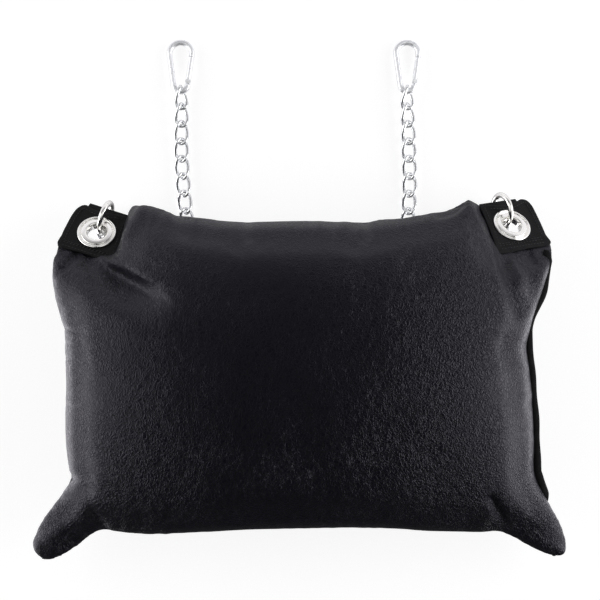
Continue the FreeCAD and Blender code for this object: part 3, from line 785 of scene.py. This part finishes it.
def closure_tape(name, low, high, reach):
    """One strip of the hook and loop closure: a ribbed tape, from low to high above the seam."""
    flat = smooth_path(TAPE_EDGE, 2.0) * MM
    heights = seam_height(flat)
    line = np.column_stack([flat, heights])
    ups = np.tile((0.0, 0.0, 1.0), (len(line), 1))
    travelled = np.concatenate([[0], np.cumsum(np.linalg.norm(np.diff(flat, axis=0), axis=1))])
    total = travelled[-1]
    a, b = low * MM, high * MM
    sewn_in, bevel, rounding, rib_pitch = 3 * MM, 0.35 * MM, 0.010, 2.6 * MM
    sections = []
    for place in travelled:
        fade = math.sqrt(max(0.0, min(1, place / rounding, (total - place) / rounding)))
        rib = 0.18 * MM * math.sin(2 * math.pi * place / rib_pitch)
        wave = 0.5 * MM * math.sin(place / 0.017) + 0.35 * MM * math.sin(place / 0.0071 + 1)
        out = (reach * MM + wave) * (0.25 + 0.75 * fade)
        sections.append([
            (sewn_in, a), (0.6 * MM - out, a - rib), (-out, a + bevel), (-out, b - bevel),
            (0.6 * MM - out, b + rib), (sewn_in, b),
        ])
    return swept(name, line, ups, sections)


# ---------------------------------------------------------------- materials

def new_material(name):
    material = bpy.data.materials.new(name)
    material.use_nodes = True
    nodes = material.node_tree.nodes
    nodes.clear()
    output = nodes.new("ShaderNodeOutputMaterial")
    shader = nodes.new("ShaderNodeBsdfPrincipled")
    material.node_tree.links.new(shader.outputs["BSDF"], output.inputs["Surface"])
    return material, shader


def node(material, kind, **settings):
    made = material.node_tree.nodes.new(kind)
    for key, setting in settings.items():
        if key in made.inputs:
            made.inputs[key].default_value = setting
        else:
            setattr(made, key, setting)
    return made


def link(material, source, target):
    material.node_tree.links.new(source, target)


def place_node(material, scale=(1, 1, 1), turn=(0, 0, 0)):
    """Coordinates on the object, in metres, stretched by scale."""
    coordinates = node(material, "ShaderNodeTexCoord")
    mapping = node(material, "ShaderNodeMapping")
    mapping.inputs["Scale"].default_value = scale
    mapping.inputs["Rotation"].default_value = [math.radians(a) for a in turn]
    link(material, coordinates.outputs["Object"], mapping.inputs["Vector"])
    return mapping.outputs["Vector"]


def noise(material, where, scale, detail=4.0, roughness=0.5):
    made = node(material, "ShaderNodeTexNoise", Scale=scale, Detail=detail, Roughness=roughness)
    link(material, where, made.inputs["Vector"])
    return made.outputs["Fac"]


def mapped(material, source, low, high, to_low, to_high):
    made = node(material, "ShaderNodeMapRange")
    for key, setting in zip(("From Min", "From Max", "To Min", "To Max"), (low, high, to_low, to_high)):
        made.inputs[key].default_value = setting
    link(material, source, made.inputs["Value"])
    return made.outputs["Result"]


def colours(material, source, *stops):
    ramp = node(material, "ShaderNodeValToRGB")
    elements = ramp.color_ramp.elements
    for i, (place, colour) in enumerate(stops):
        element = elements[i] if i < 2 else elements.new(place)
        element.position = place
        element.color = (*colour, 1)
    link(material, source, ramp.inputs["Fac"])
    return ramp.outputs["Color"]


def arithmetic(material, operation, a, b=None):
    made = node(material, "ShaderNodeMath", operation=operation)
    for socket, source in zip(made.inputs, (a, b)):
        if source is None:
            continue
        if isinstance(source, (int, float)):
            socket.default_value = source
        else:
            link(material, source, socket)
    return made.outputs[0]


def bump(material, height, strength, distance, before=None):
    made = node(material, "ShaderNodeBump", Strength=strength, Distance=distance)
    link(material, height, made.inputs["Height"])
    if before is not None:
        link(material, before, made.inputs["Normal"])
    return made.outputs["Normal"]


def leather():
    """Black milled leather: pebbled grain with fine pores, softly shining on the crowns of the pebbles."""
    material, shader = new_material("black_leather")
    where = place_node(material, (1, 0.85, 1), (0, 0, 14))
    warp = node(material, "ShaderNodeTexNoise", Scale=120.0, Detail=2.0)
    link(material, where, warp.inputs["Vector"])
    mixed = node(material, "ShaderNodeMix", data_type="VECTOR")
    mixed.inputs["Factor"].default_value = 0.012
    link(material, where, mixed.inputs[4])
    link(material, warp.outputs["Color"], mixed.inputs[5])
    pebbles = node(material, "ShaderNodeTexVoronoi", feature="DISTANCE_TO_EDGE", Scale=320.0)
    link(material, mixed.outputs[1], pebbles.inputs["Vector"])
    crowns = mapped(material, pebbles.outputs["Distance"], 0.0, 0.28, 0.0, 1.0)
    patches = noise(material, where, 22.0, 3.0)
    pores = noise(material, where, 1400.0, 3.0)
    folds = noise(material, where, 75.0, 5.0, 0.6)
    away = node(material, "ShaderNodeVectorMath", operation="DISTANCE")
    away.inputs[1].default_value = WORN_SPOT
    link(material, node(material, "ShaderNodeTexCoord").outputs["Object"], away.inputs[0])
    uneven = mapped(material, patches, 0.3, 0.7, 0.45, 1.0)
    unworn = mapped(material, away.outputs["Value"], 0.06, 0.26, 0.36, 1.6)
    relief = arithmetic(material, "MULTIPLY", crowns, uneven)
    relief = arithmetic(material, "MULTIPLY", relief, unworn)
    first = bump(material, folds, 0.28, 0.0016)
    second = bump(material, relief, 0.9, 0.00045, first)
    link(material, bump(material, pores, 0.10, 0.00012, second), shader.inputs["Normal"])
    tone = arithmetic(material, "MULTIPLY", crowns, patches)
    dye = colours(material, tone, (0.0, (0.0022, 0.0020, 0.0040)), (0.6, (0.0044, 0.0040, 0.0080)))
    link(material, dye, shader.inputs["Base Color"])
    link(material, mapped(material, crowns, 0.0, 1.0, 0.52, 0.38), shader.inputs["Roughness"])
    shader.inputs["Specular IOR Level"].default_value = 0.38
    shader.inputs["Specular Tint"].default_value = (0.91, 0.88, 1.0, 1)
    return material


def nylon(name="black_nylon", pitch=0.9):
    """Black woven nylon, with its threads' pitch in millimetres."""
    material, shader = new_material(name)
    where = place_node(material, (1 / MM, 1 / MM, 1 / MM))
    rows = []
    for direction in ("X", "Y"):
        wave = node(material, "ShaderNodeTexWave", wave_type="BANDS", bands_direction=direction,
                    Scale=0.314 / pitch, Distortion=0.4)
        link(material, where, wave.inputs["Vector"])
        rows.append(wave.outputs["Fac"])
    weave = arithmetic(material, "MAXIMUM", *rows)
    fuzz = noise(material, where, 1.1, 4.0)
    first = bump(material, weave, 0.5, 0.00025)
    link(material, bump(material, fuzz, 0.25, 0.0003, first), shader.inputs["Normal"])
    dye = colours(material, weave, (0.0, (0.0035, 0.0035, 0.0042)), (1.0, (0.0095, 0.0095, 0.0108)))
    link(material, dye, shader.inputs["Base Color"])
    link(material, mapped(material, fuzz, 0.3, 0.7, 0.68, 0.85), shader.inputs["Roughness"])
    shader.inputs["Specular IOR Level"].default_value = 0.2
    return material


def plated(name, colour, roughness, metallic=1.0):
    """Bright plated steel with faint marks from handling."""
    material, shader = new_material(name)
    where = place_node(material, (1, 1, 1))
    marks = noise(material, where, 260.0, 5.0, 0.6)
    shader.inputs["Metallic"].default_value = metallic
    duller = tuple(c * 0.93 for c in colour)
    link(material, colours(material, marks, (0.3, duller), (0.7, colour)), shader.inputs["Base Color"])
    handled = mapped(material, marks, 0.3, 0.7, roughness, roughness + 0.08)
    link(material, handled, shader.inputs["Roughness"])
    return material


def thread():
    """Twisted polyester thread."""
    material, shader = new_material("black_thread")
    where = place_node(material, (1 / MM, 1 / MM, 1 / MM), (0, 0, 40))
    twist = node(material, "ShaderNodeTexWave", wave_type="BANDS", Scale=1.6, Distortion=0.3)
    link(material, where, twist.inputs["Vector"])
    link(material, bump(material, twist.outputs["Fac"], 0.5, 0.0001), shader.inputs["Normal"])
    dye = colours(material, twist.outputs["Fac"], (0.0, (0.006, 0.006, 0.007)), (1.0, (0.018, 0.018, 0.02)))
    link(material, dye, shader.inputs["Base Color"])
    shader.inputs["Roughness"].default_value = 0.6
    return material


def dressed(piece, material):
    piece.data.materials.clear()
    piece.data.materials.append(material)
    return piece


def dress_node(name, material):
    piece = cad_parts[name]
    for slot in piece.material_slots:
        slot.material = material
    return piece


# ---------------------------------------------------------------- floor, light and camera

def floor():
    """A pale floor that shining parts don't mirror."""
    half = 4
    corners = [(-half, -half, 0), (half, -half, 0), (half, half, 0), (-half, half, 0)]
    plane = new_piece("floor", corners, [(0, 1, 2, 3)], smooth=False)
    plane.location.z = -0.5 * MM
    material, shader = new_material("pale_floor")
    shader.inputs["Base Color"].default_value = (0.3, 0.3, 0.3, 1)
    shader.inputs["Roughness"].default_value = 0.9
    shader.inputs["Emission Color"].default_value = (1, 1, 1, 1)
    shader.inputs["Emission Strength"].default_value = 0.85
    dressed(plane, material)
    plane.visible_glossy = False


def under_light(name, side):
    """A glowing board under the floor, which only shining parts mirror, as on a light table."""
    near, far, low, high, level = 0.36 * side, 1.6 * side, -0.48, 0.09, -0.25
    corners = [(near, low, level), (far, low, level), (far, high, level), (near, high, level)]
    board = new_piece(name, corners, [(0, 1, 2, 3)], smooth=False)
    material, shader = new_material(name + "_glow")
    shader.inputs["Base Color"].default_value = (0, 0, 0, 1)
    shader.inputs["Emission Color"].default_value = (0.97, 0.96, 1.0, 1)
    shader.inputs["Emission Strength"].default_value = 3.2
    dressed(board, material)


def softbox(name, place, target, width, height, power):
    """A soft rectangular lamp turned towards a target."""
    lamp = bpy.data.lights.new(name, "AREA")
    lamp.shape = "RECTANGLE"
    lamp.size, lamp.size_y, lamp.energy = width, height, power
    thing = bpy.data.objects.new(name, lamp)
    thing.location = place
    thing.rotation_euler = (Vector(target) - Vector(place)).to_track_quat("-Z", "Y").to_euler()
    bpy.context.scene.collection.objects.link(thing)
    return thing


def studio_world():
    """Light from all round the horizon that fades overhead and towards the bag's lower edge."""
    world = bpy.data.worlds.new("studio")
    world.use_nodes = True
    tree = world.node_tree
    background = tree.nodes["Background"]
    direction = tree.nodes.new("ShaderNodeTexCoord")
    parts = tree.nodes.new("ShaderNodeSeparateXYZ")
    tree.links.new(direction.outputs["Generated"], parts.inputs["Vector"])

    def faded(source, low, high, at_low, at_high):
        fade = tree.nodes.new("ShaderNodeMapRange")
        settings = {"From Min": low, "From Max": high, "To Min": at_low, "To Max": at_high}
        for key, setting in settings.items():
            fade.inputs[key].default_value = setting
        tree.links.new(source, fade.inputs["Value"])
        return fade.outputs["Result"]

    def combined(operation, first, second):
        both = tree.nodes.new("ShaderNodeMath")
        both.operation = operation
        tree.links.new(first, both.inputs[0])
        tree.links.new(second, both.inputs[1])
        return both.outputs[0]

    overhead = faded(parts.outputs["Z"], 0.2, 0.75, 1.0, 0.09)
    ahead = faded(parts.outputs["Y"], -0.5, 0.9, 0.05, 1.0)
    sideways = combined("MULTIPLY", parts.outputs["X"], parts.outputs["X"])
    around = combined("ADD", ahead, faded(sideways, 0.2, 1.0, 0.0, 0.5))
    tree.links.new(combined("MULTIPLY", overhead, around), background.inputs["Strength"])
    background.inputs["Color"].default_value = (0.98, 0.97, 1.0, 1)
    bpy.context.scene.world = world


def lights():
    """Softboxes low on both sides, and small ones towards the lower ears."""
    bag = (0, -0.05, 0.05)
    softbox("left_softbox", (-1.8, 0.1, 0.7), bag, 1.8, 1.2, 18)
    softbox("right_softbox", (1.8, 0.0, 0.8), bag, 1.8, 1.3, 22)
    for side, sign in (("left", -1), ("right", 1)):
        ear = (sign * 0.2, -0.2, 0.05)
        softbox(f"{side}_front_softbox", (sign * 1.6, -0.9, 0.35), ear, 0.7, 0.5, 3.5)
    under_light("left_under_light", -1)
    under_light("right_under_light", 1)
    studio_world()
    bpy.context.scene.view_settings.view_transform = "Standard"


def lights_for_metal(pieces):
    """Overhead panels that shine on the metal parts only, so that the dark leather keeps its soft shade."""
    shined_on = bpy.data.collections.new("metal_parts")
    for piece in pieces:
        shined_on.objects.link(piece)
    power = 5.5
    for name, place in (("left_panel", (-0.9, 0.3, 1.6)), ("right_panel", (0.55, 0.5, 1.7))):
        panel = softbox(name, place, (0, 0.2, 0), 1.5, 1.1, power)
        panel.light_linking.receiver_collection = shined_on


def camera():
    """Straight above the bag, at such a length that the given width is seen."""
    height, shown, sensor = 2.2, 0.654, 36
    data = bpy.data.cameras.new("camera")
    data.sensor_width = sensor
    data.lens = sensor * height / shown
    thing = bpy.data.objects.new("camera", data)
    thing.location = (0, -2.9 * MM, height)
    bpy.context.scene.collection.objects.link(thing)
    bpy.context.scene.camera = thing


# ---------------------------------------------------------------- the whole bag

def add_cover(skin):
    cover = dressed(cushion(cushion_outline()), skin)
    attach(cover, "bag")
    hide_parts("cover_front", "cover_back", "liner_front", "liner_back", "filling")


def add_closure():
    tape = nylon("hook_and_loop_tape", pitch=0.7)
    for name, low, high, reach in (("hook", 0.15, 1.7, 7.0), ("loop", -1.6, -0.1, 7.8)):
        strip = dressed(closure_tape(f"closure_{name}_tape", low, high, reach), tape)
        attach(strip, "bag")
        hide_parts(f"closure_{name}_strip")


def add_patches(side, cloth, yarn):
    for layer in ("front", "back"):
        piece = dressed(patch_layer(side, layer), cloth)
        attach(piece, "bag")
        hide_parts(f"corner_patch_{side}_{layer}")
    for piece in patch_stitches(side):
        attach(dressed(piece, yarn), "bag")
    dress_node(f"corner_patch_{side}_webbing", cloth)


def add_eyelet_and_ring(side, bright):
    metal = dressed(eyelet(side), bright)
    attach(metal, "bag")
    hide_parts(f"eyelet_{side}")
    hoop = dressed(ring(side), bright)
    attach(hoop, f"ring_{side}")
    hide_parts(f"ring_{side}")
    dress_node(f"eyelet_washer_{side}", bright)
    return [metal, hoop]


def build():
    camera()
    floor()
    lights()
    skin, cloth, yarn = leather(), nylon(), thread()
    bright = plated("bright_chrome", (0.93, 0.92, 0.89), 0.15)
    links = plated("bright_zinc", (0.84, 0.85, 0.86), 0.12, 0.85)
    zinc = plated("milky_zinc", (0.82, 0.83, 0.85), 0.26, 0.6)
    spring_steel = plated("spring_steel", (0.45, 0.45, 0.46), 0.25)
    add_cover(skin)
    add_closure()
    metals = []
    for side in SIDES:
        add_patches(side, cloth, yarn)
        metals += add_eyelet_and_ring(side, bright)
        metals += [dress_node(f"hook_{part}_{side}", zinc) for part in ("frame", "gate", "rivet")]
        dress_node(f"hook_spring_{side}", spring_steel)
    metals += [dress_node(name, links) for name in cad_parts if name.startswith("chain_link")]
    lights_for_metal(metals)


build()
